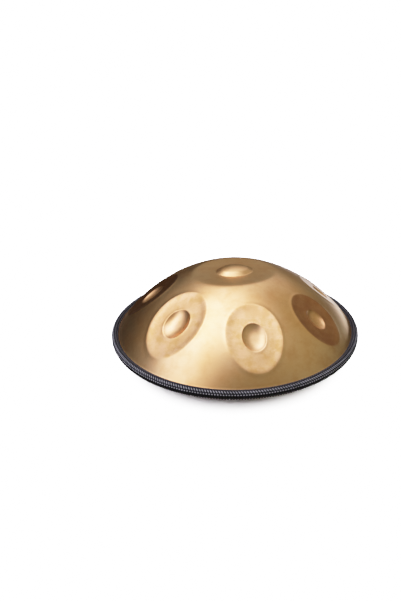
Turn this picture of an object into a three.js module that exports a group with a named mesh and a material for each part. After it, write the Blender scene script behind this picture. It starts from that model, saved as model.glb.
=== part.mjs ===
// A handpan: two sheet-steel domes glued flange to flange, with a rubber channel and a
// braided cover round the rim. The top dome carries the ding, a raised centre note, and a
// ring of eight tone fields, each with a dimple. The bottom dome has the sound port.
//
// Millimetres, +Z up. The origin is at the centre of the flat ring that the drum rests on,
// and azimuths are in degrees from +X, counterclockwise seen from above.

import * as THREE from "three";

// Overall sizes
const RIM_RADIUS = 280;          // over the braided cover
const RIM_HEIGHT = 112;          // joint between the two flanges, above the floor
const SHEET = 1.2;               // steel thickness of both domes
const FOOT_RADIUS = 263.5;       // where each dome meets its flange
const SEGMENTS = 64;             // facets round every turned piece

// Rim joint, heights measured from the joint between the flanges
const FLANGE_RADIUS = 275;
const FLANGE_INNER = 0.7;        // inner face of each flange
const FLANGE_OUTER = FLANGE_INNER + SHEET;
const BOND_INNER_RADIUS = 262.3;
const BOND_OUTER_RADIUS = 274;
const BOND_HALF_HEIGHT = 0.4;
const CHANNEL = { mouth: 265, slot: 275.3, back: 277.3, slotHalf: 2.2, outerHalf: 4.3 };
const BRAID = { halfWidth: 7.8, halfHeight: 9.5, drop: 2, cavityHalf: 4.6, cavityBack: 277.6 };
const BRAID_MOUTH_ANGLE = 128;   // degrees round the section, from the outside to each lip
const BRAID_STEPS = 12;          // facets round its section
const SPLICE_LENGTH = 34;        // sleeve over the joint of the braid's two ends, at the back
const SPLICE_GAP = 0.3;
const SPLICE_WALL = 0.8;
const SPLICE_STEPS = 6;          // facets along it

// Top dome: height = RISE * (1 - crown * s^1.9 - shoulder * s^6), with s = radius / FOOT_RADIUS
const TOP_RISE = 139.5;
const CROWN_POWER = 1.9;
const SHOULDER_POWER = 6;
const SHOULDER_SHARE = 0.12;

// Tone fields. Each is flattened into a facet of the dome.
const LARGEST_FIELD_RADIUS = 62.9;   // half its length, out from the axis
const FIELD_WIDTH = 0.945;       // width across the radius of the drum, as a share of length
const FIELD_STEP = 0.954;        // each note's field is this much smaller than the one below it
const PITCH_ORDER = [0, 2, 4, 5, 7, 6, 3, 1];   // counterclockwise from the lowest note
const LOWEST_NOTE_AZIMUTH = 230.7;
const LARGEST_FIELD_CENTRE = 182;   // from the axis
const SMALLER_FIELDS_OUT = 1.44;    // how far out a smaller field moves, per mm of radius
const DIMPLE_SHARE = 0.43;          // of the field's radius, on the lowest note
const DIMPLE_SHRINK = 0.6;
const DIMPLE_DEPTH_SHARE = 0.28;    // of the dimple's radius
const DIMPLE_POWER = 2.8;           // flatter than a sphere's 2 in the middle
const DIMPLE_OUTWARD = 3;

// Ding: an oval facet round the crown, and an oval bump in two steps on it
const DING_AZIMUTH = 20;
const DING_FIELD = { long: 93, short: 83 };
const DING = { long: 41, short: 33.5, step: 0.72, stepHeight: 6.5, height: 11 };

// Bottom dome: a flat resting ring round the port, and a neck that turns up inside
const PORT_RADIUS = 52;
const PORT_BEND = 8;             // outer radius of the bend into the neck
const BEND_STEPS = 3;            // facets round the bend
const NECK_HEIGHT = 36;
const REST_RADIUS = 78;          // outer edge of the flat ring
const BELLY_POWER = 1.55;
const EDGE_POWER = 5.2;
const EDGE_SHARE = 0.18;
const BOTTOM_STEPS = 7;

// Rings of mesh corners round each area of the top dome: [share of its radius, corners]
const BOWL_RINGS = [[0.4, 8], [0.75, 14], [1, 20], [1.25, 20]];
const FIELD_RINGS = [[0.8, 20], [1, 28], [1.1, 24]];
const BUMP_RINGS = [[0.4, 10], [DING.step, 24], [1, 28], [1.3, 24]];
const DING_FIELD_RINGS = [[0.75, 24], [1, 36]];

// Rings of corners on the plain dome between those areas
const PLAIN_RINGS = 8;
const PLAIN_FIRST = 9;           // from the foot to the first ring
const PLAIN_STEP = 17;           // from ring to ring
const PLAIN_SPACING = 24;        // from corner to corner along a ring
const PLAIN_CLEARANCE = 7;       // to any other corner

const steel = { color: 0xb98d4f, roughness: 0.34, metalness: 1 };
const rubber = { color: 0x141517, roughness: 0.7, metalness: 0 };
const braid = { color: 0x23282d, roughness: 0.85, metalness: 0 };
const adhesive = { color: 0x3a3733, roughness: 0.6, metalness: 0 };

const drum = new THREE.Group();

function addPiece(name, geometry, look) {
  const mesh = new THREE.Mesh(geometry, new THREE.MeshStandardMaterial(look));
  mesh.name = name;
  drum.add(mesh);
  return mesh;
}

// A ring turned about +Z from a closed section of [radius, height] points.
function turned(section) {
  const points = section.map(([radius, height]) => new THREE.Vector2(radius, height));
  points.push(points[0].clone());
  const geometry = new THREE.LatheGeometry(points, SEGMENTS);
  geometry.rotateX(Math.PI / 2);
  return geometry;
}

// Points on an arc of an oval, as [radius, height], angles in degrees.
function arc(centre, halfWidth, halfHeight, from, to, steps) {
  const points = [];
  for (let i = 0; i <= steps; i++) {
    const angle = THREE.MathUtils.degToRad(from + (to - from) * i / steps);
    points.push([centre[0] + halfWidth * Math.cos(angle), centre[1] + halfHeight * Math.sin(angle)]);
  }
  return points;
}

// ---------------------------------------------------------------- top dome surface

// Height of the plain dome over the plane of the flange's top face.
function domeHeight(radius) {
  const s = radius / FOOT_RADIUS;
  const crown = (1 - SHOULDER_SHARE) * s ** CROWN_POWER;
  return TOP_RISE * (1 - crown - SHOULDER_SHARE * s ** SHOULDER_POWER);
}

function domeSlope(radius) {
  const step = 0.01;
  return Math.atan((domeHeight(radius - step) - domeHeight(radius + step)) / (2 * step));
}

function domePoint(x, y) {
  return new THREE.Vector3(x, y, domeHeight(Math.hypot(x, y)));
}

// An oval area of the dome: its centre, its two half-sizes as seen from above, and the
// direction of its normal. The first half-size is along `along`, the second along `across`.
function ovalArea(centre, along, halfAlong, halfAcross, normal) {
  const across = new THREE.Vector2(-along.y, along.x);
  return { centre, along, across, halfAlong, halfAcross, normal };
}

function pointOnOval(area, scale, angle) {
  return area.centre.clone()
    .addScaledVector(area.along, scale * area.halfAlong * Math.cos(angle))
    .addScaledVector(area.across, scale * area.halfAcross * Math.sin(angle));
}

// 0 at the oval's centre and 1 on its edge.
function reach(area, x, y) {
  const offset = new THREE.Vector2(x, y).sub(area.centre);
  return Math.hypot(offset.dot(area.along) / area.halfAlong, offset.dot(area.across) / area.halfAcross);
}

// How far the dome bulges over the plane through the oval's edge.
function bulge(area) {
  const samples = 24;
  const top = domePoint(area.centre.x, area.centre.y);
  let sum = 0;
  for (let i = 0; i < samples; i++) {
    const edge = pointOnOval(area, 1, 2 * Math.PI * i / samples);
    sum += top.clone().sub(domePoint(edge.x, edge.y)).dot(area.normal);
  }
  return sum / samples;
}

function fieldRadius(pitch) {
  return LARGEST_FIELD_RADIUS * FIELD_STEP ** pitch;
}

// The eight tone fields share the circle in proportion to their sizes.
function makeToneFields() {
  const radii = PITCH_ORDER.map(fieldRadius);
  const spans = radii.map((radius, i) => radius + radii[(i + 1) % radii.length]);
  const total = spans.reduce((sum, span) => sum + span, 0);
  let azimuth = THREE.MathUtils.degToRad(LOWEST_NOTE_AZIMUTH);
  return radii.map((radius, i) => {
    const outward = new THREE.Vector2(Math.cos(azimuth), Math.sin(azimuth));
    const fromAxis = LARGEST_FIELD_CENTRE + SMALLER_FIELDS_OUT * (LARGEST_FIELD_RADIUS - radius);
    const slope = domeSlope(fromAxis);
    const lean = Math.sin(slope);
    const normal = new THREE.Vector3(lean * outward.x, lean * outward.y, Math.cos(slope));
    const centre = outward.clone().multiplyScalar(fromAxis);
    const flat = ovalArea(centre, outward, radius, FIELD_WIDTH * radius, normal);
    const share = DIMPLE_SHARE * (radius / LARGEST_FIELD_RADIUS) ** DIMPLE_SHRINK;
    const bowlCentre = outward.clone().multiplyScalar(fromAxis + DIMPLE_OUTWARD);
    const bowl = ovalArea(bowlCentre, outward, radius * share, radius * share, normal);
    azimuth += 2 * Math.PI * spans[i] / total;
    return { flat, bowl, sink: bulge(flat), depth: DIMPLE_DEPTH_SHARE * radius * share };
  });
}

function makeDing() {
  const azimuth = THREE.MathUtils.degToRad(DING_AZIMUTH);
  const along = new THREE.Vector2(Math.cos(azimuth), Math.sin(azimuth));
  const up = new THREE.Vector3(0, 0, 1);
  const flat = ovalArea(new THREE.Vector2(), along, DING_FIELD.long, DING_FIELD.short, up);
  const bump = ovalArea(new THREE.Vector2(), along, DING.long, DING.short, up);
  return { flat, bump, sink: bulge(flat) };
}

const toneFields = makeToneFields();
const ding = makeDing();

// Height of the ding over its facet: a straight flank up to the step, then a low crown.
function dingHeight(away) {
  if (away >= 1) {
    return 0;
  }
  if (away >= DING.step) {
    return DING.stepHeight * (1 - away) / (1 - DING.step);
  }
  return DING.stepHeight + (DING.height - DING.stepHeight) * (1 - (away / DING.step) ** 2);
}

// The hammered surface over the point (x, y) of the plain dome.
function hammered(x, y) {
  const point = domePoint(x, y);
  point.z += dingHeight(reach(ding.bump, x, y));
  point.z -= ding.sink * Math.max(0, 1 - reach(ding.flat, x, y) ** 2);
  for (const { flat, bowl, sink, depth } of toneFields) {
    const pressed = sink * Math.max(0, 1 - reach(flat, x, y) ** 2);
    const dimple = depth * Math.max(0, 1 - reach(bowl, x, y) ** DIMPLE_POWER);
    point.addScaledVector(flat.normal, -pressed - dimple);
  }
  return point;
}

function hammeredNormal(x, y) {
  const step = 0.5;
  const alongX = hammered(x + step, y).sub(hammered(x - step, y));
  const alongY = hammered(x, y + step).sub(hammered(x, y - step));
  return alongX.cross(alongY).normalize();
}

// ---------------------------------------------------------------- top dome mesh

function ringsOf(area, rings) {
  return rings.flatMap(([scale, count]) => (
    Array.from({ length: count }, (_, i) => pointOnOval(area, scale, 2 * Math.PI * i / count))
  ));
}

// Corners on a circle round the axis, starting where the turned pieces' facets start.
function circle(radius, count) {
  return Array.from({ length: count }, (_, i) => {
    const angle = 2 * Math.PI * i / count - Math.PI / 2;
    return new THREE.Vector2(radius * Math.cos(angle), radius * Math.sin(angle));
  });
}

// Where the top dome has its corners, seen from above. The first SEGMENTS are its foot.
function domeCorners() {
  const corners = circle(FOOT_RADIUS, SEGMENTS);
  for (const { flat, bowl } of toneFields) {
    corners.push(bowl.centre.clone(), ...ringsOf(bowl, BOWL_RINGS), ...ringsOf(flat, FIELD_RINGS));
  }
  corners.push(new THREE.Vector2(), ...ringsOf(ding.bump, BUMP_RINGS));
  corners.push(...ringsOf(ding.flat, DING_FIELD_RINGS));
  const areas = [ding.flat, ...toneFields.map(({ flat }) => flat)];
  const isPlain = (point) => areas.every((area) => reach(area, point.x, point.y) > 1)
    && corners.every((corner) => corner.distanceTo(point) > PLAIN_CLEARANCE);
  const plain = [];
  for (let ring = 0; ring < PLAIN_RINGS; ring++) {
    const radius = FOOT_RADIUS - PLAIN_FIRST - PLAIN_STEP * ring;
    const count = Math.round(2 * Math.PI * radius / PLAIN_SPACING);
    plain.push(...circle(radius, count).filter(isPlain));
  }
  return [...corners, ...plain];
}

// A point on the circle itself counts as outside, so that even rings don't tie.
function insideCircle(triangle, point) {
  const margin = 1e-9;
  return triangle.centre.distanceToSquared(point) < triangle.radiusSquared * (1 - margin);
}

function circumscribed(points, a, b, c) {
  const ab = points[b].clone().sub(points[a]);
  const ac = points[c].clone().sub(points[a]);
  const twiceArea = 2 * ab.cross(ac);
  const x = (ac.y * ab.lengthSq() - ab.y * ac.lengthSq()) / twiceArea;
  const y = (ab.x * ac.lengthSq() - ac.x * ab.lengthSq()) / twiceArea;
  const centre = new THREE.Vector2(x, y);
  return { corners: [a, b, c], radiusSquared: centre.lengthSq(), centre: centre.add(points[a]) };
}

// Delaunay triangles of a set of plane points, counterclockwise, one point added at a time.
function triangulate(given) {
  const far = 20 * FOOT_RADIUS;
  const frame = [new THREE.Vector2(-far, -far), new THREE.Vector2(far, -far), new THREE.Vector2(0, far)];
  const points = [...given, ...frame];
  const count = given.length;
  let triangles = [circumscribed(points, count, count + 1, count + 2)];
  for (let i = 0; i < count; i++) {
    const opened = triangles.filter((triangle) => insideCircle(triangle, points[i]));
    triangles = triangles.filter((triangle) => !insideCircle(triangle, points[i]));
    const edges = new Map();
    for (const { corners } of opened) {
      for (let k = 0; k < 3; k++) {
        const [a, b] = [corners[k], corners[(k + 1) % 3]];
        if (!edges.delete(`${b},${a}`)) {
          edges.set(`${a},${b}`, [a, b]);
        }
      }
    }
    for (const [a, b] of edges.values()) {
      triangles.push(circumscribed(points, a, b, i));
    }
  }
  return triangles.map(({ corners }) => corners).filter((corners) => Math.max(...corners) < count);
}

// Quads between two loops of corners, each split into two triangles.
function strip(lower, upper) {
  const triangles = [];
  for (let i = 0; i < lower.length; i++) {
    const next = (i + 1) % lower.length;
    triangles.push([lower[i], lower[next], upper[next]]);
    triangles.push([lower[i], upper[next], upper[i]]);
  }
  return triangles;
}

function topShell() {
  const corners = domeCorners();
  const cap = triangulate(corners);
  const count = corners.length;
  const outer = corners.map(({ x, y }) => hammered(x, y));
  const inner = corners.map(({ x, y }, i) => outer[i].clone().addScaledVector(hammeredNormal(x, y), -SHEET));
  const points = [...outer, ...inner];
  const loopAt = (radius, height) => circle(radius, SEGMENTS).map(({ x, y }) => {
    points.push(new THREE.Vector3(x, y, height));
    return points.length - 1;
  });
  const foot = [...Array(SEGMENTS).keys()];
  const loops = [
    foot.map((i) => i + count),
    loopAt(FOOT_RADIUS - SHEET, -SHEET),
    loopAt(FLANGE_RADIUS, -SHEET),
    loopAt(FLANGE_RADIUS, 0),
    foot,
  ];
  const triangles = [...cap, ...cap.map(([a, b, c]) => [a + count, c + count, b + count])];
  for (let i = 0; i + 1 < loops.length; i++) {
    triangles.push(...strip(loops[i], loops[i + 1]));
  }
  const geometry = new THREE.BufferGeometry().setFromPoints(points);
  geometry.setIndex(triangles.flat());
  geometry.translate(0, 0, RIM_HEIGHT + FLANGE_OUTER);
  geometry.computeVertexNormals();
  return geometry;
}

// ---------------------------------------------------------------- bottom dome and rim

// Outer height of the bottom dome at a radius outside the flat resting ring.
function bottomHeight(radius) {
  const s = (radius - REST_RADIUS) / (FOOT_RADIUS - REST_RADIUS);
  const belly = (1 - EDGE_SHARE) * s ** BELLY_POWER;
  return (RIM_HEIGHT - FLANGE_OUTER) * (belly + EDGE_SHARE * s ** EDGE_POWER);
}

function bottomShell() {
  const outer = [];
  const inner = [];
  for (let i = 0; i <= BOTTOM_STEPS; i++) {
    const radius = FOOT_RADIUS + (REST_RADIUS - FOOT_RADIUS) * i / BOTTOM_STEPS;
    const slope = Math.atan(bottomHeight(radius) - bottomHeight(Math.max(REST_RADIUS, radius - 1)));
    outer.push([radius, bottomHeight(radius)]);
    inner.push([radius - SHEET * Math.sin(slope), bottomHeight(radius) + SHEET * Math.cos(slope)]);
  }
  const bend = [PORT_RADIUS + PORT_BEND, PORT_BEND];
  const section = [
    [FLANGE_RADIUS, RIM_HEIGHT - FLANGE_INNER],
    [FOOT_RADIUS - SHEET, RIM_HEIGHT - FLANGE_INNER],
    ...inner,
    ...arc(bend, PORT_BEND - SHEET, PORT_BEND - SHEET, 270, 180, BEND_STEPS),
    [PORT_RADIUS + SHEET, NECK_HEIGHT],
    [PORT_RADIUS, NECK_HEIGHT],
    ...arc(bend, PORT_BEND, PORT_BEND, 180, 270, BEND_STEPS),
    ...outer.reverse(),
    [FLANGE_RADIUS, RIM_HEIGHT - FLANGE_OUTER],
  ];
  return turned(section);
}

function bondRing() {
  const [low, high] = [RIM_HEIGHT - BOND_HALF_HEIGHT, RIM_HEIGHT + BOND_HALF_HEIGHT];
  return turned([
    [BOND_INNER_RADIUS, low],
    [BOND_OUTER_RADIUS, low],
    [BOND_OUTER_RADIUS, high],
    [BOND_INNER_RADIUS, high],
  ]);
}

function rimChannel() {
  const { mouth, slot, back, slotHalf, outerHalf } = CHANNEL;
  const at = (radius, height) => [radius, RIM_HEIGHT + height];
  return turned([
    at(mouth, -outerHalf),
    at(back, -outerHalf),
    at(back, outerHalf),
    at(mouth, outerHalf),
    at(mouth, slotHalf),
    at(slot, slotHalf),
    at(slot, -slotHalf),
    at(mouth, -slotHalf),
  ]);
}

// The outside of the braid's section from its lower lip round to its upper lip, moved
// outward by `extra`.
function braidOutside(extra) {
  const centre = [RIM_RADIUS - BRAID.halfWidth, RIM_HEIGHT - BRAID.drop];
  const [wide, high] = [BRAID.halfWidth + extra, BRAID.halfHeight + extra];
  return arc(centre, wide, high, -BRAID_MOUTH_ANGLE, BRAID_MOUTH_ANGLE, BRAID_STEPS);
}

function rimBraid() {
  const { cavityHalf, cavityBack } = BRAID;
  const outside = braidOutside(0);
  const lip = outside[0][0];
  return turned([
    ...outside,
    [lip, RIM_HEIGHT + cavityHalf],
    [cavityBack, RIM_HEIGHT + cavityHalf],
    [cavityBack, RIM_HEIGHT - cavityHalf],
    [lip, RIM_HEIGHT - cavityHalf],
  ]);
}

// A short sleeve bent along the rim, open towards the drum as the braid is.
function braidSplice() {
  const outside = braidOutside(SPLICE_GAP + SPLICE_WALL);
  const inside = braidOutside(SPLICE_GAP);
  const section = [...outside, ...inside.reverse()];
  // Along this arc a shape's x runs down and its y runs towards the drum's axis.
  const shape = new THREE.Shape(section.map(([radius, height]) => (
    new THREE.Vector2(RIM_HEIGHT - height, RIM_RADIUS - radius)
  )));
  const halfAngle = SPLICE_LENGTH / 2 / RIM_RADIUS;
  const points = [];
  for (let i = 0; i <= SPLICE_STEPS; i++) {
    const angle = Math.PI / 2 + halfAngle * (2 * i / SPLICE_STEPS - 1);
    points.push(new THREE.Vector3(RIM_RADIUS * Math.cos(angle), RIM_RADIUS * Math.sin(angle), RIM_HEIGHT));
  }
  const extrudePath = new THREE.CatmullRomCurve3(points);
  return new THREE.ExtrudeGeometry(shape, { extrudePath, steps: SPLICE_STEPS });
}

addPiece("bottom_shell", bottomShell(), steel);
addPiece("bond_ring", bondRing(), adhesive);
addPiece("top_shell", topShell(), steel);
addPiece("rim_channel", rimChannel(), rubber);
addPiece("rim_braid", rimBraid(), braid);
addPiece("braid_splice", braidSplice(), rubber);

export default drum;
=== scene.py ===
"""The looks of the handpan: two fine steel domes and a braided rim, in a pale studio.

Metres, +Z up, in the frame of the CAD model. Azimuths on the drum are in degrees from +X,
counterclockwise seen from above. Those of the lights and the camera are in degrees from +Y,
which points away from the camera, towards +X.
"""

import math

import bpy
import numpy as np
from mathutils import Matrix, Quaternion, Vector


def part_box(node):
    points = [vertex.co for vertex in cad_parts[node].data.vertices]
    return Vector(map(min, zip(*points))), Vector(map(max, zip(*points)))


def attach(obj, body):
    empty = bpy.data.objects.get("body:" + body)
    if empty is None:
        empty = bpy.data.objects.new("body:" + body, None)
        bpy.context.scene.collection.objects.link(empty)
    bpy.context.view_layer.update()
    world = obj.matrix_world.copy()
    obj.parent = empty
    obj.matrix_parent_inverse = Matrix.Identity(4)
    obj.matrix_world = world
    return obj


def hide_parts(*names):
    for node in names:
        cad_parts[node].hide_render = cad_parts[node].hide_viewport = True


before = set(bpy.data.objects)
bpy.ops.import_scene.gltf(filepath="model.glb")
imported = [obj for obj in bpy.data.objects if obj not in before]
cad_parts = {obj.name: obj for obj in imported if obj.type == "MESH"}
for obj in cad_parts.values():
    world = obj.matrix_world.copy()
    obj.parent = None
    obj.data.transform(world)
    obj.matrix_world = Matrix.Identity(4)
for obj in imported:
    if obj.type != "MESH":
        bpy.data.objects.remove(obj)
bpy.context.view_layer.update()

MM = 0.001

# Sizes and places taken from the frame
RIM_LOW, RIM_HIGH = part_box("rim_braid")
TOP_LOW, TOP_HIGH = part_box("top_shell")
BOTTOM_LOW, BOTTOM_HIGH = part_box("bottom_shell")
CHANNEL_LOW, CHANNEL_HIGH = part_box("rim_channel")
RIM_RADIUS = RIM_HIGH.x
RIM_HEIGHT = (CHANNEL_LOW.z + CHANNEL_HIGH.z) / 2
FLANGE_RADIUS = TOP_HIGH.x
SHEET = 1.2 * MM
FLANGE_TOP = TOP_LOW.z + SHEET
FLANGE_BOTTOM = BOTTOM_HIGH.z - SHEET

# Top dome: height = rise * (1 - crown * s^1.9 - shoulder * s^6), with s = radius / foot radius
FOOT_RADIUS = 264.6 * MM
TOP_RISE = 139.5 * MM
CROWN_POWER = 1.9
SHOULDER_POWER = 6
SHOULDER_SHARE = 0.12
FOOT_FILLET = 0.5 * MM

# Tone fields: facets of the dome, each with a dimple. A crease is a share of the area's radius.
LARGEST_FIELD_RADIUS = 62.9 * MM   # half its length, out from the axis
FIELD_WIDTH = 0.945                # width across the drum's radius, as a share of length
FIELD_STEP = 0.954                 # each note's field is this much smaller than the one below it
PITCH_ORDER = [0, 2, 4, 5, 7, 6, 3, 1]   # counterclockwise from the lowest note
LOWEST_NOTE_AZIMUTH = 230.7
LARGEST_FIELD_CENTRE = 182 * MM
SMALLER_FIELDS_OUT = 1.44          # how far out a smaller field moves, per unit of radius
DIMPLE_SHARE = 0.43                # of the field's radius, on the lowest note
DIMPLE_SHRINK = 0.6
DIMPLE_DEPTH_SHARE = 0.28          # of the dimple's radius
DIMPLE_POWER = 2.8                 # flatter than a sphere's 2 in the middle
DIMPLE_OUTWARD = 3 * MM
FIELD_CREASE = 0.07
DIMPLE_CREASE = 0.07
FIELD_LIP = (0.6 * MM, 0.16, 0.06)     # height, and inner and outer width as shares of the radius
DIMPLE_LIP = (0.35 * MM, 0.05, 0.1)
FIELD_TINTS = [0.05, 0.0, 1.0, 0.1, 0.4, 0.5, 0.7, 0.9]   # how far each has turned red-brown

# Ding: an oval facet round the crown, and an oval bump in two steps on it
DING_AZIMUTH = 20
DING_FIELD = (93 * MM, 83 * MM)
DING_BUMP = (41 * MM, 33.5 * MM)
DING_STEP = 0.72
DING_STEP_HEIGHT = 6.5 * MM
DING_HEIGHT = 11 * MM
DING_CREASE = 0.08
DING_FIELD_CREASE = 0.12

# Fades of the material's masks, in radii of an area: where one ends, and how wide it is
DING_FADE = (1.02, 0.04)
AREA_FADE = (1.03, 0.06)
SPARED_FADE = (1.05, 0.2)          # round a dimple, where a field's tint is weak
SPARED_TINT = 0.15                 # share of the tint that is left there

# Bottom dome: a flat resting ring round the port, and a neck that turns up inside
PORT_RADIUS = 52 * MM
PORT_BEND = 8 * MM
NECK_HEIGHT = 36 * MM
REST_RADIUS = 78 * MM
BELLY_POWER = 1.55
EDGE_POWER = 5.2
EDGE_SHARE = 0.18

# Braided cover: a C-shaped section with columns of stitches, from the underside to the top
COVER_HALF = (7.8 * MM, (RIM_HIGH.z - RIM_LOW.z) / 2)
COVER_HEIGHT = (RIM_HIGH.z + RIM_LOW.z) / 2
COLUMN_EDGES = (-128, 13, 33, 84, 128)     # degrees round the section
COLUMN_LEANS = (0.9, 0.0, 0.9, -0.9)       # stitches each column leans by
COLUMN_PAINTED_LIGHT = (0.05, 1.0, 0.65, 0.2)     # painted light of each column: the underside painted black as shade, a bead row painted bright as a highlight
CAVITY_HALF = 4.6 * MM
CAVITY_BACK = 277.6 * MM
STITCHES = 340
STITCH_STEPS = 6
COLUMN_STEPS = 10
STITCH_DEPTH = 1.3 * MM
STITCH_END_POWER = 0.4             # the smaller, the blunter the ends of a stitch

# Rubber channel inside the cover, and the sleeve over the joint of the cover's ends
CHANNEL_LIP = 265 * MM
CHANNEL_SLOT = 275.3 * MM
CHANNEL_SLOT_HALF = 2.2 * MM
CHANNEL_ROUND = 1.0 * MM
SLEEVE_LENGTH = 34 * MM
SLEEVE_EDGE = 0.35                 # how far its ends are rounded, as a share of its wall
SLEEVE_EDGE_SHARE = 12             # the rounded part is one twelfth of its half length
SLEEVE_AZIMUTH = 90
SLEEVE_GAP = 0.3 * MM
SLEEVE_WALL = 0.8 * MM

# Mesh fineness
TOP_RINGS = 165
INNER_RINGS = 60
TURNED_SEGMENTS = 256
BELLY_STEPS = 90
REST_STEPS = 8                     # of the resting ring and of the neck
BEND_STEPS = 10
BEAD_STEPS = 6
CORNER_STEPS = 4
SLEEVE_STEPS = (48, 40)            # round its section and along it
SHARP_ANGLE = 50
FIELD_GATHER = 0.16                # how far from a crease corners are drawn to it
DIMPLE_GATHER = 0.25
GATHERING = 0.65                   # how strongly

# The camera looks down at the middle of the rim from in front
CAMERA_DISTANCE = 1.0
CAMERA_ELEVATION = 28.36
CAMERA_ROLL = -0.31
CAMERA_LENS = 25.6
CAMERA_SENSOR = 36
CAMERA_SHIFT = (-0.0571, 0.0344)
CAMERA_CLIP = (0.05, 200)


# ---------------------------------------------------------------- meshes

def add_piece(name, node, points, faces, material):
    """A piece that replaces a CAD node, rides on the one body and takes a material slot."""
    mesh = bpy.data.meshes.new(name)
    mesh.from_pydata(np.asarray(points).tolist(), [], faces)
    mesh.shade_smooth()
    mesh.set_sharp_from_angle(angle=math.radians(SHARP_ANGLE))
    mesh.materials.append(material)
    piece = bpy.data.objects.new(name, mesh)
    bpy.context.scene.collection.objects.link(piece)
    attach(piece, "root")
    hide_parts(node)
    return piece


def set_attribute(piece, name, values):
    attribute = piece.data.attributes.new(name, "FLOAT", "POINT")
    attribute.data.foreach_set("value", np.asarray(values, np.float32))


def strip(lower, upper):
    """Quads between two closed loops of corners with the same count."""
    count = len(lower)
    return [
        (lower[i], lower[(i + 1) % count], upper[(i + 1) % count], upper[i])
        for i in range(count)
    ]


def tube(rows, segments):
    """Quads over a closed grid: each row of corners is joined to the next, the last to the first."""
    faces = []
    for row in range(rows):
        here = row * segments
        there = (row + 1) % rows * segments
        faces.extend(strip(range(here, here + segments), range(there, there + segments)))
    return faces


def zip_loops(inner, outer):
    """Triangles between two closed loops with any counts, both starting at the same angle."""
    faces = []
    i = j = 0
    while i < len(inner) or j < len(outer):
        here = inner[i % len(inner)]
        there = outer[j % len(outer)]
        if j < len(outer) and (i >= len(inner) or (j + 1) * len(inner) <= (i + 1) * len(outer)):
            j += 1
            faces.append((here, there, outer[j % len(outer)]))
        else:
            i += 1
            faces.append((here, there, inner[i % len(inner)]))
    return faces


def ring_start(ring):
    """Index of a disc's first corner on a ring: ring i has 6 i corners, round one in the middle."""
    return 0 if ring == 0 else 1 + 3 * ring * (ring - 1)


def disc_plan(rings, radius):
    """An even net of triangles over a disc: the plan of its corners, and the faces."""
    plan = [(0.0, 0.0)]
    for ring in range(1, rings + 1):
        angles = np.arange(6 * ring) * 2 * np.pi / (6 * ring)
        reach = radius * ring / rings
        plan.extend(zip(reach * np.cos(angles), reach * np.sin(angles)))
    faces = [(0, 1 + k, 1 + (k + 1) % 6) for k in range(6)]
    for ring in range(1, rings):
        inner = range(ring_start(ring), ring_start(ring + 1))
        outer = range(ring_start(ring + 1), ring_start(ring + 2))
        faces.extend(zip_loops(inner, outer))
    return np.array(plan), faces


def turned(section, segments):
    """A ring turned about +Z from a closed section of (radius, height) points."""
    section = np.asarray(section)
    angles = np.arange(segments) * 2 * np.pi / segments
    points = np.stack([
        np.outer(section[:, 0], np.cos(angles)),
        np.outer(section[:, 0], np.sin(angles)),
        np.outer(section[:, 1], np.ones(segments)),
    ], axis=-1).reshape(-1, 3)
    return points, tube(len(section), segments)


def arc(centre, radius, start, end, steps):
    """(radius, height) points on an arc, angles in degrees."""
    angles = np.radians(np.linspace(start, end, steps + 1))
    return [(centre[0] + radius * math.cos(a), centre[1] + radius * math.sin(a)) for a in angles]


# ---------------------------------------------------------------- top dome

def soft(value, width):
    """The larger of a value and 0, rounded over about the given width."""
    return 0.5 * (value + np.sqrt(value * value + width * width))


def dome_height(radius):
    """Height of the plain dome over its flange, which goes below 0 outside its foot."""
    s = radius / FOOT_RADIUS
    crown = (1 - SHOULDER_SHARE) * s ** CROWN_POWER
    return TOP_RISE * (1 - crown - SHOULDER_SHARE * s ** SHOULDER_POWER)


class Oval:
    """An oval area of the dome, as seen from above, with the direction of its normal."""

    def __init__(self, from_axis, azimuth, halves, normal):
        self.along = np.array([math.cos(azimuth), math.sin(azimuth)])
        self.across = np.array([-self.along[1], self.along[0]])
        self.centre = from_axis * self.along
        self.halves = halves
        self.normal = np.array(normal)

    def reach(self, x, y):
        """0 at the oval's centre and 1 on its edge."""
        dx = x - self.centre[0]
        dy = y - self.centre[1]
        along = (dx * self.along[0] + dy * self.along[1]) / self.halves[0]
        across = (dx * self.across[0] + dy * self.across[1]) / self.halves[1]
        return np.hypot(along, across)

    def bulge(self):
        """How far the plain dome bulges over the plane through the oval's edge."""
        samples = 24
        angles = np.arange(samples) * 2 * np.pi / samples
        edge = (
            self.centre
            + np.outer(self.halves[0] * np.cos(angles), self.along)
            + np.outer(self.halves[1] * np.sin(angles), self.across)
        )
        heights = dome_height(np.hypot(edge[:, 0], edge[:, 1]))
        drop = dome_height(np.hypot(*self.centre)) - heights
        away = (self.centre - edge) @ self.normal[:2] + drop * self.normal[2]
        return away.mean()


def make_tone_fields():
    """The eight fields share the circle in proportion to their sizes."""
    radii = [LARGEST_FIELD_RADIUS * FIELD_STEP ** pitch for pitch in PITCH_ORDER]
    spans = [radius + radii[(i + 1) % len(radii)] for i, radius in enumerate(radii)]
    azimuth = math.radians(LOWEST_NOTE_AZIMUTH)
    fields = []
    for radius, span, tint in zip(radii, spans, FIELD_TINTS):
        from_axis = LARGEST_FIELD_CENTRE + SMALLER_FIELDS_OUT * (LARGEST_FIELD_RADIUS - radius)
        step = 0.01 * MM
        fall = dome_height(from_axis - step) - dome_height(from_axis + step)
        slope = math.atan(fall / (2 * step))
        lean = math.sin(slope)
        normal = (lean * math.cos(azimuth), lean * math.sin(azimuth), math.cos(slope))
        dimple = radius * DIMPLE_SHARE * (radius / LARGEST_FIELD_RADIUS) ** DIMPLE_SHRINK
        flat = Oval(from_axis, azimuth, (radius, FIELD_WIDTH * radius), normal)
        bowl = Oval(from_axis + DIMPLE_OUTWARD, azimuth, (dimple, dimple), normal)
        fields.append((flat, bowl, flat.bulge(), DIMPLE_DEPTH_SHARE * dimple, tint))
        azimuth += 2 * math.pi * span / sum(spans)
    return fields


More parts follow.
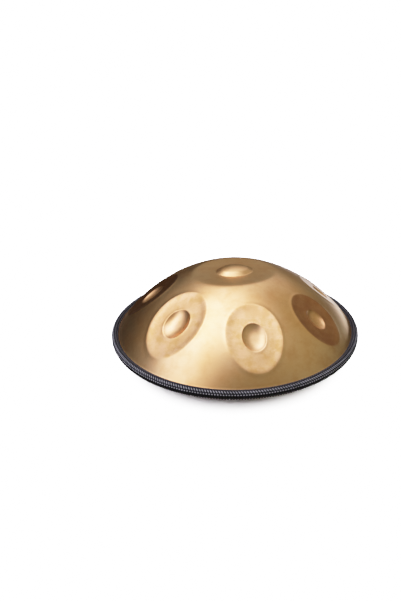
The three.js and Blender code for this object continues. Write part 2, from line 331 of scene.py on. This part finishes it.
TONE_FIELDS = make_tone_fields()
DING_FLAT = Oval(0, math.radians(DING_AZIMUTH), DING_FIELD, (0, 0, 1))
DING_OVAL = Oval(0, math.radians(DING_AZIMUTH), DING_BUMP, (0, 0, 1))
DING_SINK = DING_FLAT.bulge()


def ding_height(away):
    """Height of the ding over its facet: a straight flank up to the step, then a low crown."""
    rise = (1 - away) / (1 - DING_STEP)
    flank = soft(1 - soft(1 - rise, DING_CREASE), DING_CREASE)
    crown = soft(1 - (away / DING_STEP) ** 2, DING_CREASE)
    return DING_STEP_HEIGHT * flank + (DING_HEIGHT - DING_STEP_HEIGHT) * crown


def lip(reach, height, inner, outer):
    """A low raised lip along the edge of an area, as the hammer leaves it."""
    width = np.where(reach < 1, inner, outer)
    return height * np.exp(-((reach - 1) / width) ** 2)


def gathered(plan):
    """The plan with its corners drawn towards the creases, where the surface bends fastest."""
    plan = np.array(plan)
    ovals = [(DING_OVAL, DIMPLE_GATHER)]
    for flat, bowl, _, _, _ in TONE_FIELDS:
        ovals += [(flat, FIELD_GATHER), (bowl, DIMPLE_GATHER)]
    for oval, width in ovals:
        reach = np.maximum(oval.reach(*plan.T), 1e-6)
        away = np.clip((reach - 1) / width, -1, 1)
        shift = -width * GATHERING * np.sin(np.pi * away) / np.pi
        plan += (shift / reach)[:, None] * (plan - oval.centre)
    return plan


def hammered(x, y):
    """The hammered surface over the points (x, y) of the plain dome."""
    points = np.stack([x, y, soft(dome_height(np.hypot(x, y)), FOOT_FILLET)], axis=-1)
    points[..., 2] += ding_height(DING_OVAL.reach(x, y))
    points[..., 2] -= DING_SINK * soft(1 - DING_FLAT.reach(x, y) ** 2, DING_FIELD_CREASE)
    for flat, bowl, sink, depth, _ in TONE_FIELDS:
        reach = flat.reach(x, y)
        pressed = sink * soft(1 - reach ** 2, FIELD_CREASE) - lip(reach, *FIELD_LIP)
        reach = bowl.reach(x, y)
        dimple = depth * soft(1 - reach ** DIMPLE_POWER, DIMPLE_CREASE) - lip(reach, *DIMPLE_LIP)
        points -= (pressed + dimple)[..., None] * flat.normal
    return points


def hammered_normals(x, y):
    step = 0.4 * MM
    along_x = hammered(x + step, y) - hammered(x - step, y)
    along_y = hammered(x, y + step) - hammered(x, y - step)
    normals = np.cross(along_x, along_y)
    return normals / np.linalg.norm(normals, axis=-1, keepdims=True)


def within(reach, edge, width):
    """1 inside an area and 0 outside it, fading over a width that ends at the edge."""
    return np.clip((edge - reach) / width, 0, 1)


def shading_masks(plan):
    """Where the tone fields lie, how far each has turned red-brown, and where dimples are."""
    membrane = np.zeros(len(plan))
    tint = np.zeros(len(plan))
    pressed = within(DING_OVAL.reach(*plan.T), *DING_FADE)
    for flat, bowl, _, _, field_tint in TONE_FIELDS:
        inside = within(flat.reach(*plan.T), *AREA_FADE)
        from_dimple = bowl.reach(*plan.T)
        spared = np.maximum(1 - within(from_dimple, *SPARED_FADE), SPARED_TINT)
        membrane = np.maximum(membrane, inside)
        pressed = np.maximum(pressed, within(from_dimple, *AREA_FADE))
        tint = np.maximum(tint, inside * spared * field_tint)
    return {"membrane": membrane, "tint": tint, "pressed": pressed}


def top_dome(material):
    outer_plan, outer_faces = disc_plan(TOP_RINGS, FLANGE_RADIUS)
    outer_plan = gathered(outer_plan)
    inner_plan, inner_faces = disc_plan(INNER_RINGS, FLANGE_RADIUS)
    x, y = outer_plan.T
    outer = hammered(x, y)
    inner = hammered(*inner_plan.T) - SHEET * hammered_normals(*inner_plan.T)
    count = len(outer)
    rim = range(ring_start(TOP_RINGS), count)
    inner_rim = range(count + ring_start(INNER_RINGS), count + len(inner))
    faces = list(outer_faces)
    faces += [(a + count, c + count, b + count) for a, b, c in inner_faces]
    faces += [face[::-1] for face in zip_loops(rim, inner_rim)]
    points = np.concatenate([outer, inner]) + [0, 0, FLANGE_TOP]
    piece = add_piece("top_dome", "top_shell", points, faces, material)
    for name, values in shading_masks(np.concatenate([outer_plan, inner_plan])).items():
        set_attribute(piece, name, values)


# ---------------------------------------------------------------- bottom dome and rim

def bottom_height(radius):
    """Outer height of the bottom dome outside the flat resting ring."""
    s = (radius - REST_RADIUS) / (FOOT_RADIUS - REST_RADIUS)
    return FLANGE_BOTTOM * ((1 - EDGE_SHARE) * s ** BELLY_POWER + EDGE_SHARE * s ** EDGE_POWER)


def offset_curve(curve, distance):
    """The curve moved to its left by a distance."""
    curve = np.asarray(curve)
    run = np.gradient(curve, axis=0)
    left = np.stack([-run[:, 1], run[:, 0]], axis=1)
    return curve + distance * left / np.linalg.norm(left, axis=1, keepdims=True)


def bottom_dome(material):
    belly = np.linspace(FLANGE_RADIUS, REST_RADIUS, BELLY_STEPS)
    outer = [(r, FLANGE_BOTTOM - soft(FLANGE_BOTTOM - bottom_height(r), FOOT_FILLET)) for r in belly]
    ring = np.linspace(REST_RADIUS, PORT_RADIUS + PORT_BEND, REST_STEPS)[1:-1]
    outer += [(r, 0.0) for r in ring]
    outer += arc((PORT_RADIUS + PORT_BEND, PORT_BEND), PORT_BEND, 270, 180, BEND_STEPS)
    outer += [(PORT_RADIUS, h) for h in np.linspace(PORT_BEND, NECK_HEIGHT, REST_STEPS)[1:]]
    inner = offset_curve(outer, -SHEET)
    section = [*outer, *inner[::-1]]
    points, faces = turned(section[::-1], TURNED_SEGMENTS)
    add_piece("bottom_dome", "bottom_shell", points, faces, material)


def cover_section(extra, angles):
    """(radius, height) round the cover's outside, moved outward by `extra`; degrees."""
    radians = np.radians(angles)
    radius = RIM_RADIUS - COVER_HALF[0] + (COVER_HALF[0] + extra) * np.cos(radians)
    height = COVER_HEIGHT + (COVER_HALF[1] + extra) * np.sin(radians)
    return radius, height


def around_axis(radius, height, azimuth):
    """Points from radius, height and azimuth in radians, all of one shape."""
    return np.stack([radius * np.cos(azimuth), radius * np.sin(azimuth), height], axis=-1)


def stitch_crests(column, across, turns):
    """1 on the crest of each slanted stitch and 0 in the grooves between them.

    `across` runs from 0 to 1 over a column and `turns` counts the stitches round the cover.
    """
    phase = turns + np.array(COLUMN_LEANS)[column] * (across - 0.5) + 0.5 * (column % 2)
    ridge = np.abs(np.sin(np.pi * phase))
    ends = np.clip(np.sin(np.pi * across), 0, 1) ** STITCH_END_POWER
    return ridge * ends


def braided_cover(material):
    segments = STITCHES * STITCH_STEPS
    count = len(COLUMN_PAINTED_LIGHT)
    steps = count * COLUMN_STEPS
    azimuth = np.arange(segments) * 2 * np.pi / segments
    columns, turns = np.meshgrid(
        np.arange(steps + 1) / COLUMN_STEPS, np.arange(segments) / STITCH_STEPS, indexing="ij"
    )
    column = np.minimum(columns.astype(int), count - 1)
    crests = stitch_crests(column, columns - column, turns)
    angles = np.interp(columns, range(count + 1), COLUMN_EDGES)
    radius, height = cover_section(STITCH_DEPTH * (crests - 1), angles)
    mouth = cover_section(0, COLUMN_EDGES[-1])[0]
    cavity = [(mouth, CAVITY_HALF), (CAVITY_BACK, CAVITY_HALF), (CAVITY_BACK, -CAVITY_HALF),
              (mouth, -CAVITY_HALF)]
    one_row = np.ones((1, segments))
    rows = [around_axis(radius, height, azimuth)]
    for cavity_radius, level in cavity:
        rows.append(around_axis(cavity_radius * one_row, (RIM_HEIGHT + level) * one_row, azimuth))
    points = np.concatenate([row.reshape(-1, 3) for row in rows])
    faces = tube(steps + 1 + len(cavity), segments)
    piece = add_piece("braided_cover", "rim_braid", points, faces, material)
    inside = np.zeros(len(cavity) * segments)
    set_attribute(piece, "crest", np.concatenate([crests.ravel(), inside]))
    # painted light and shade of each column, carried by the shade attribute
    painted_row_light = np.array(COLUMN_PAINTED_LIGHT)[column]
    set_attribute(piece, "shade", np.concatenate([painted_row_light.ravel(), inside]))


def rubber_channel(material):
    mouth = CHANNEL_LIP
    back = CHANNEL_HIGH.x
    low, high = CHANNEL_LOW.z, CHANNEL_HIGH.z
    slot_low, slot_high = RIM_HEIGHT - CHANNEL_SLOT_HALF, RIM_HEIGHT + CHANNEL_SLOT_HALF
    bead = CHANNEL_ROUND
    section = [
        *arc((mouth + bead, low + bead), bead, 180, 270, BEAD_STEPS),
        *arc((back - bead, low + bead), bead, 270, 360, CORNER_STEPS),
        *arc((back - bead, high - bead), bead, 0, 90, CORNER_STEPS),
        *arc((mouth + bead, high - bead), bead, 90, 180, BEAD_STEPS),
        (mouth, slot_high),
        (CHANNEL_SLOT, slot_high),
        (CHANNEL_SLOT, slot_low),
        (mouth, slot_low),
    ]
    points, faces = turned(section, 2 * TURNED_SEGMENTS)
    add_piece("rubber_channel", "rim_channel", points, faces, material)


def joint_sleeve(material):
    """A short sleeve bent along the rim over the joint of the cover's two ends."""
    half_angle = SLEEVE_LENGTH / 2 / RIM_RADIUS
    along = np.linspace(-1, 1, SLEEVE_STEPS[1] + 1)
    angles = np.linspace(COLUMN_EDGES[0], COLUMN_EDGES[-1], SLEEVE_STEPS[0] + 1)
    azimuth = math.radians(SLEEVE_AZIMUTH) + half_angle * along
    to_end = np.clip(SLEEVE_EDGE_SHARE * (1 - np.abs(along)), 0, 1)
    rounding = SLEEVE_EDGE * SLEEVE_WALL * (1 - to_end) ** 2
    inner = np.full_like(rounding, SLEEVE_GAP)
    outer = inner + SLEEVE_WALL - rounding
    grids = []
    for extra in (outer, inner):
        radius, height = cover_section(extra[None, :], angles[:, None])
        grids.append(around_axis(radius, height, azimuth[None, :]))
    rows, columns = grids[0].shape[:2]
    index = np.arange(rows * columns).reshape(rows, columns)
    faces = []
    for i in range(rows - 1):
        for j in range(columns - 1):
            quad = (index[i, j], index[i, j + 1], index[i + 1, j + 1], index[i + 1, j])
            faces.append(quad)
            faces.append(tuple(corner + rows * columns for corner in quad[::-1]))
    border = [*index[0, :-1], *index[:-1, -1], *index[-1, :0:-1], *index[:0:-1, 0]]
    faces += [face[::-1] for face in strip(border, [i + rows * columns for i in border])]
    points = np.concatenate([grid.reshape(-1, 3) for grid in grids])
    faces = [tuple(int(corner) for corner in face) for face in faces]
    add_piece("joint_sleeve", "braid_splice", points, faces, material)


# ---------------------------------------------------------------- materials

class Graph:
    """Short calls for building a node tree."""

    def __init__(self, tree):
        self.tree = tree
        tree.nodes.clear()

    def node(self, kind, inputs, **settings):
        node = self.tree.nodes.new(kind)
        for name, value in settings.items():
            setattr(node, name, value)
        for name, value in inputs.items():
            self.feed(node.inputs[name], value)
        return node

    def feed(self, socket, value):
        if isinstance(value, bpy.types.NodeSocket):
            self.tree.links.new(value, socket)
        else:
            socket.default_value = value

    def math(self, operation, first, second=0.0):
        return self.node("ShaderNodeMath", {0: first, 1: second}, operation=operation).outputs[0]

    def scaled(self, vector, factor):
        inputs = {"Vector": vector, "Scale": factor}
        return self.node("ShaderNodeVectorMath", inputs, operation="SCALE").outputs[0]

    def added(self, first, second):
        return self.node("ShaderNodeVectorMath", {0: first, 1: second}, operation="ADD").outputs[0]

    def mix(self, factor, first, second):
        """Colours mixed by a factor. Inputs 6 and 7 are the node's two colours."""
        inputs = {0: factor, 6: first, 7: second}
        return self.node("ShaderNodeMix", inputs, data_type="RGBA").outputs[2]

    def spread(self, value, low, high, new_low, new_high):
        inputs = {"Value": value, "From Min": low, "From Max": high,
                  "To Min": new_low, "To Max": new_high}
        return self.node("ShaderNodeMapRange", inputs).outputs[0]

    def noise(self, vector, scale, detail=3.0, roughness=0.5):
        inputs = {"Vector": vector, "Scale": scale, "Detail": detail, "Roughness": roughness}
        return self.node("ShaderNodeTexNoise", inputs).outputs["Fac"]

    def place(self):
        return self.node("ShaderNodeTexCoord", {}).outputs["Object"]

    def stretched(self, vector, scale):
        inputs = {"Vector": vector, "Scale": scale}
        return self.node("ShaderNodeMapping", inputs).outputs[0]

    def attribute(self, name):
        return self.node("ShaderNodeAttribute", {}, attribute_name=name).outputs["Fac"]

    def bump(self, height, distance, normal=None):
        inputs = {"Height": height, "Distance": distance, "Strength": 1.0}
        if normal is not None:
            inputs["Normal"] = normal
        return self.node("ShaderNodeBump", inputs).outputs[0]

    def principled(self, inputs):
        shader = self.node("ShaderNodeBsdfPrincipled", inputs)
        self.node("ShaderNodeOutputMaterial", {"Surface": shader.outputs[0]})


def new_material(name):
    material = bpy.data.materials.new(name)
    material.use_nodes = True
    return material, Graph(material.node_tree)


def polar(graph, place):
    """Angle round the axis, radius and height, so that grain can run round the drum."""
    parts = graph.node("ShaderNodeSeparateXYZ", {0: place})
    x, y, z = parts.outputs
    angle = graph.math("ARCTAN2", y, x)
    radius = graph.math("SQRT", graph.math("ADD", graph.math("MULTIPLY", x, x),
                                           graph.math("MULTIPLY", y, y)))
    return graph.node("ShaderNodeCombineXYZ", {0: angle, 1: radius, 2: z}).outputs[0]


# Colours of the steel
GOLD = (0.82, 0.47, 0.17, 1)
STRAW = (0.86, 0.56, 0.25, 1)
BRONZE = (0.66, 0.33, 0.10, 1)
PEACH = (0.93, 0.56, 0.26, 1)
TAN = (0.70, 0.40, 0.12, 1)
RED_BROWN = (0.40, 0.155, 0.055, 1)

# Colours of the trim and the adhesive
# The yarn colours show only on the crests of the stitches, where they are a painted highlight
YARN_DARK = (0.35, 0.35, 0.34, 1)
YARN_PALE = (0.75, 0.75, 0.73, 1)
YARN_WORN = (0.08, 0.08, 0.075, 1)
# painted shade in the grooves of the braid
GROOVE_PAINTED_SHADE = (0.004, 0.004, 0.004, 1)
RUBBER_BLACK = (0.008, 0.008, 0.009, 1)
RUBBER_BLOOM = (0.02, 0.021, 0.023, 1)
ADHESIVE_DARK = (0.03, 0.028, 0.026, 1)
ADHESIVE_PALE = (0.06, 0.056, 0.05, 1)

# Noises of the steel: scale, detail and roughness
CLOUDS = (7.0, 3.0, 0.55)
MOTTLE = (38.0, 4.0, 0.6)
SMUDGES = (42.0, 3.0, 0.65)
APART = (0.37, 0.37, 0.37)         # moves one noise away from another of about the same scale
GRAIN_SCALE = (22.0, 900.0, 900.0)      # of the polar place: long strokes round the drum
FIBRE_SCALE = (900.0, 1500.0, 1500.0)
SATIN = (0.31, 0.35)               # roughness of the steel
WAVE_DEPTH = 0.7 * MM
DENT_DEPTH = 0.1 * MM
GRAIN_DEPTH = 0.012 * MM


def gold_steel():
    """Satin heat-treated sheet: gold with straw and bronze clouds and a fine brushed grain.

    The tone fields carry peach and tan smudges, and some have turned red-brown. The
    pressed dimples and the ding are duller.
    """
    material, graph = new_material("satin_steel")
    place = graph.place()
    clouds = graph.noise(place, *CLOUDS)
    mottle = graph.noise(place, *MOTTLE)
    smudges = graph.noise(graph.added(place, APART), *SMUDGES)
    grain = graph.noise(graph.stretched(polar(graph, place), GRAIN_SCALE), 1.0, 2.0)
    membrane = graph.attribute("membrane")
    pressed = graph.attribute("pressed")
    colour = graph.mix(graph.spread(clouds, 0.38, 0.62, 0, 1), GOLD, STRAW)
    colour = graph.mix(graph.spread(mottle, 0.45, 0.75, 0, 0.6), colour, BRONZE)
    peach = graph.math("MULTIPLY", membrane, graph.spread(mottle, 0.35, 0.55, 0.9, 0.1))
    colour = graph.mix(peach, colour, PEACH)
    flat_part = graph.math("SUBTRACT", membrane, pressed)
    tanned = graph.math("MULTIPLY", flat_part, graph.spread(smudges, 0.47, 0.65, 0.0, 0.9))
    colour = graph.mix(tanned, colour, TAN)
    browned = graph.math("MULTIPLY", graph.attribute("tint"),
                         graph.spread(mottle, 0.3, 0.7, 0.7, 0.95))
    colour = graph.mix(browned, colour, RED_BROWN)
    colour = graph.mix(graph.spread(grain, 0.3, 0.7, 0.0, 0.12), colour, BRONZE)
    satin = graph.spread(mottle, 0.3, 0.7, *SATIN)
    satin = graph.math("ADD", satin, graph.spread(grain, 0.3, 0.7, -0.02, 0.03))
    satin = graph.math("ADD", satin, graph.math("MULTIPLY", pressed, 0.04))
    waves = graph.bump(graph.noise(place, 16.0, 1.0), WAVE_DEPTH)
    dents = graph.bump(graph.noise(place, 45.0, 1.0), DENT_DEPTH, waves)
    graph.principled({
        "Base Color": colour,
        "Metallic": 1.0,
        "Roughness": satin,
        "Normal": graph.bump(grain, GRAIN_DEPTH, dents),
        "Coat Weight": 0.12,
        "Coat Roughness": 0.14,
    })
    return material


def braid_yarn():
    """Tight polyester braid: painted shade, black, in the grooves and a painted highlight, pale
    grey, on the crests of the stitches.
    """
    material, graph = new_material("braid_yarn")
    place = graph.place()
    crest = graph.attribute("crest")
    fibres = graph.noise(graph.stretched(polar(graph, place), FIBRE_SCALE), 1.0, 2.0)
    wear = graph.noise(place, 30.0, 3.0)
    yarn_and_highlight = graph.mix(graph.spread(fibres, 0.3, 0.7, 0, 1), YARN_DARK, YARN_PALE)
    yarn_and_highlight = graph.mix(graph.spread(wear, 0.4, 0.7, 0, 0.4), yarn_and_highlight, YARN_WORN)
    # painted highlight on the crests and painted shade in the grooves, scaled by each column's
    # painted light
    pale = graph.math("MULTIPLY", graph.spread(crest, 0.55, 0.9, 0, 1), graph.attribute("shade"))
    colour = graph.mix(pale, GROOVE_PAINTED_SHADE, yarn_and_highlight)
    graph.principled({
        "Base Color": colour,
        "Roughness": graph.spread(fibres, 0.3, 0.7, 0.55, 0.75),
        "Normal": graph.bump(fibres, 0.08 * MM),
        "Specular IOR Level": 0.08,
    })
    return material


def black_rubber():
    """Matte black rubber with a faint bloom and a fine moulded grain."""
    material, graph = new_material("black_rubber")
    place = graph.place()
    bloom = graph.noise(place, 60.0, 3.0)
    grain = graph.noise(place, 1400.0, 2.0)
    colour = graph.mix(graph.spread(bloom, 0.35, 0.7, 0, 1), RUBBER_BLACK, RUBBER_BLOOM)
    graph.principled({
        "Base Color": colour,
        "Roughness": graph.spread(bloom, 0.3, 0.7, 0.5, 0.68),
        "Normal": graph.bump(grain, 0.05 * MM),
        "Specular IOR Level": 0.35,
    })
    return material


def cured_adhesive():
    """Grey cured adhesive with a mottled, slightly uneven surface."""
    material, graph = new_material("cured_adhesive")
    place = graph.place()
    mottle = graph.noise(place, 90.0, 3.0)
    colour = graph.mix(graph.spread(mottle, 0.35, 0.65, 0, 1), ADHESIVE_DARK, ADHESIVE_PALE)
    graph.principled({
        "Base Color": colour,
        "Roughness": graph.spread(mottle, 0.3, 0.7, 0.45, 0.7),
        "Normal": graph.bump(mottle, 0.2 * MM),
    })
    return material


# ---------------------------------------------------------------- studio

def direction(azimuth, elevation):
    """Azimuth in degrees from +Y towards +X, elevation above the horizon."""
    a, e = math.radians(azimuth), math.radians(elevation)
    return Vector((math.sin(a) * math.cos(e), math.cos(a) * math.cos(e), math.sin(e)))


RIM_CENTRE = Vector((0, 0, RIM_HEIGHT))
ROOM_BACKDROP = 6.0                # what the camera sees behind the drum

# Light in the room by height, from straight down to straight up
ROOM_LEVELS = [(-1.0, 1.0), (-0.3, 0.5), (-0.12, 0.12), (0.05, 0.06), (0.2, 0.17), (0.45, 0.33),
               (0.75, 0.42), (1.0, 0.3)]
ROOM_SIDES = (0.45, 1.3)           # darker on the left, brighter on the right
ROOM_WARMTH = (0.98, 0.93, 0.77)
ROOM_UNDER = 0.1                   # share of the light from below that reaches cloth and the floor

# Lamps: a wash on the trim from in front, and a sun for the floor only
WASH_PLACE = (180, 42, 2.4)        # azimuth, elevation, distance
WASH_SIZE = (2.4, 0.5)
WASH_RADIANCE = 2.0
FLOOR_SUN_PLACE = (180, 48)
FLOOR_SUN_ANGLE = 18
FLOOR_SUN_STRENGTH = 18

# Floor
FLOOR_HALF = 40.0
FLOOR_GAP = 0.5 * MM
FLOOR_TONES = ((0.86, 0.86, 0.86, 1), (0.9, 0.9, 0.9, 1))

# Tone curve: levels up to the knee are shown as they are, and higher ones fade to white
KNEE = 0.35
WHITE_LEVEL = 4
CURVE_LEVELS = (0.35, 0.6, 0.9, 1.3, 1.8, 2.6)

# Soft panels: azimuth, elevation, heading of the long side, half length, half width, edge, level
KEY_PANELS = [
    (-110, 84, 87, 30, 23, 0.25, 1.7),
    (-103, 57, 41, 50, 18, 0.6, 2.6),
]
KEY_WHITE = (1.0, 0.96, 1.34)
LOW_PANEL = (40, -19, 130, 36, 15, 0.2, 1.3)
LOW_WHITE = (0.9, 0.97, 1.15)
# Dark screens, placed as the panels are: one behind on the left, and a faint one in front
ROOM_SHADES = [
    (-34, 4, -124, 38, 20, 0.25, 1.0),
    (158, 43, 70, 26, 13, 0.8, 0.35),
]


def front_wash():
    """A soft box in front that lights the trim. The camera and the steel don't see it."""
    lamp = bpy.data.lights.new("front_wash", "AREA")
    lamp.shape = "RECTANGLE"
    lamp.size, lamp.size_y = WASH_SIZE
    lamp.energy = WASH_RADIANCE * math.pi * WASH_SIZE[0] * WASH_SIZE[1]
    box = bpy.data.objects.new("front_wash", lamp)
    azimuth, elevation, distance = WASH_PLACE
    away = direction(azimuth, elevation)
    box.location = RIM_CENTRE + distance * away
    box.rotation_mode = "QUATERNION"
    box.rotation_quaternion = away.to_track_quat("Z", "Y")
    box.visible_camera = False
    box.visible_glossy = False
    bpy.context.scene.collection.objects.link(box)


def floor_light(floor):
    """A low sun from in front that only the floor takes, which keeps it pale."""
    lamp = bpy.data.lights.new("floor_sun", "SUN")
    lamp.angle = math.radians(FLOOR_SUN_ANGLE)
    lamp.energy = FLOOR_SUN_STRENGTH
    sun = bpy.data.objects.new("floor_sun", lamp)
    sun.rotation_mode = "QUATERNION"
    sun.rotation_quaternion = direction(*FLOOR_SUN_PLACE).to_track_quat("Z", "Y")
    bpy.context.scene.collection.objects.link(sun)
    only_floor = bpy.data.collections.new("lit_by_floor_sun")
    only_floor.objects.link(floor)
    sun.light_linking.receiver_collection = only_floor


def room_panel(graph, place, azimuth, elevation, along, half_long, half_wide, edge, level):
    """Light from an oval soft panel in the room. Its long axis points towards `along`, its
    half sizes are angles, and `edge` is the share of them over which it fades."""
    centre = direction(azimuth, elevation)
    heading = direction(along, 0)
    long_axis = (heading - heading.dot(centre) * centre).normalized()
    wide_axis = centre.cross(long_axis)
    squares = []
    for axis, half in ((long_axis, half_long), (wide_axis, half_wide)):
        scaled = axis / math.sin(math.radians(half))
        inputs = {0: place, 1: scaled}
        reach = graph.node("ShaderNodeVectorMath", inputs, operation="DOT_PRODUCT").outputs[1]
        squares.append(graph.math("MULTIPLY", reach, reach))
    reach = graph.math("SQRT", graph.math("ADD", *squares))
    inputs = {"Value": reach, "From Min": 1 + edge, "From Max": 1 - edge, "To Min": 0.0,
              "To Max": level}
    settings = {"interpolation_type": "SMOOTHSTEP"}
    light = graph.node("ShaderNodeMapRange", inputs, **settings).outputs[0]
    facing = graph.node("ShaderNodeVectorMath", {0: place, 1: centre}, operation="DOT_PRODUCT")
    return graph.math("MULTIPLY", light, graph.math("GREATER_THAN", facing.outputs[1], 0.0))


def studio_room():
    """A dim room with soft panels: the drum's reflections. The camera sees it plain and pale."""
    world = bpy.data.worlds.new("studio_room")
    bpy.context.scene.world = world
    world.use_nodes = True
    graph = Graph(world.node_tree)
    place = graph.node("ShaderNodeTexCoord", {}).outputs["Generated"]
    x, _, z = graph.node("ShaderNodeSeparateXYZ", {0: place}).outputs
    levels = graph.node("ShaderNodeValToRGB", {0: graph.spread(z, -1, 1, 0, 1)})
    ramp = levels.color_ramp
    while len(ramp.elements) < len(ROOM_LEVELS):
        ramp.elements.new(0.5)
    for element, (height, level) in zip(ramp.elements, ROOM_LEVELS):
        element.position = (height + 1) / 2
        element.color = (level, level, level, 1)
    sides = graph.spread(x, -0.9, 0.9, *ROOM_SIDES)
    shade = graph.math("ADD", *[room_panel(graph, place, *screen) for screen in ROOM_SHADES])
    open_part = graph.math("SUBTRACT", 1.0, shade)
    rays = graph.node("ShaderNodeLightPath", {}).outputs
    under = graph.math("MULTIPLY", graph.math("LESS_THAN", z, 0.0),
                       graph.math("MINIMUM", rays["Diffuse Depth"], 1.0))
    level = graph.math("MULTIPLY", levels.outputs[0], sides)
    level = graph.math("MULTIPLY", level, open_part)
    level = graph.math("MULTIPLY", level, graph.spread(under, 0, 1, 1.0, ROOM_UNDER))
    key = graph.math("ADD", *[room_panel(graph, place, *panel) for panel in KEY_PANELS])
    low = room_panel(graph, place, *LOW_PANEL)
    light = graph.scaled(ROOM_WARMTH, level)
    light = graph.added(light, graph.scaled(KEY_WHITE, key))
    light = graph.added(light, graph.scaled(LOW_WHITE, low))
    room = graph.node("ShaderNodeBackground", {0: light})
    pale = graph.node("ShaderNodeBackground", {0: (1, 1, 1, 1), 1: ROOM_BACKDROP})
    both = graph.node("ShaderNodeMixShader", {
        0: rays["Is Camera Ray"], 1: room.outputs[0], 2: pale.outputs[0]})
    graph.node("ShaderNodeOutputWorld", {0: both.outputs[0]})


def pale_floor():
    material, graph = new_material("pale_floor")
    tone = graph.noise(graph.place(), 1.5, 2.0)
    colour = graph.mix(tone, *FLOOR_TONES)
    graph.principled({"Base Color": colour, "Roughness": 0.9, "Specular IOR Level": 0.0})
    half = FLOOR_HALF
    corners = [(-half, -half, 0), (half, -half, 0), (half, half, 0), (-half, half, 0)]
    mesh = bpy.data.meshes.new("floor")
    mesh.from_pydata(corners, [], [(0, 1, 2, 3)])
    mesh.materials.append(material)
    floor = bpy.data.objects.new("floor", mesh)
    bpy.context.scene.collection.objects.link(floor)
    floor.location.z = BOTTOM_LOW.z - FLOOR_GAP
    floor.visible_glossy = False
    floor.visible_diffuse = False
    return floor


def camera():
    data = bpy.data.cameras.new("camera")
    data.lens = CAMERA_LENS
    data.sensor_width = CAMERA_SENSOR
    data.shift_x, data.shift_y = CAMERA_SHIFT
    data.clip_start, data.clip_end = CAMERA_CLIP
    view = bpy.data.objects.new("camera", data)
    away = direction(180, CAMERA_ELEVATION)
    view.location = RIM_CENTRE + CAMERA_DISTANCE * away
    view.rotation_mode = "QUATERNION"
    roll = Quaternion((0, 0, 1), math.radians(CAMERA_ROLL))
    view.rotation_quaternion = (-away).to_track_quat("-Z", "Y") @ roll
    bpy.context.scene.collection.objects.link(view)
    bpy.context.scene.camera = view


def tone_curve():
    """Photographic tones: straight up to the middle, then a soft shoulder to white."""
    settings = bpy.context.scene.view_settings
    settings.view_transform = "Standard"
    settings.use_curve_mapping = True
    mapping = settings.curve_mapping
    mapping.use_clip = False
    mapping.white_level = (WHITE_LEVEL, WHITE_LEVEL, WHITE_LEVEL)
    combined = mapping.curves[3]
    for level in CURVE_LEVELS:
        shown = KNEE + (1 - KNEE) * (1 - math.exp((KNEE - level) / (1 - KNEE)))
        combined.points.new(level / WHITE_LEVEL, shown)
    mapping.update()


def repaint(node, material):
    """The CAD node keeps its mesh and takes a new material."""
    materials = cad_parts[node].data.materials
    materials.clear()
    materials.append(material)


steel = gold_steel()
rubber = black_rubber()
top_dome(steel)
bottom_dome(steel)
braided_cover(braid_yarn())
rubber_channel(rubber)
joint_sleeve(rubber)
repaint("bond_ring", cured_adhesive())

camera()
studio_room()
front_wash()
floor_light(pale_floor())
tone_curve()
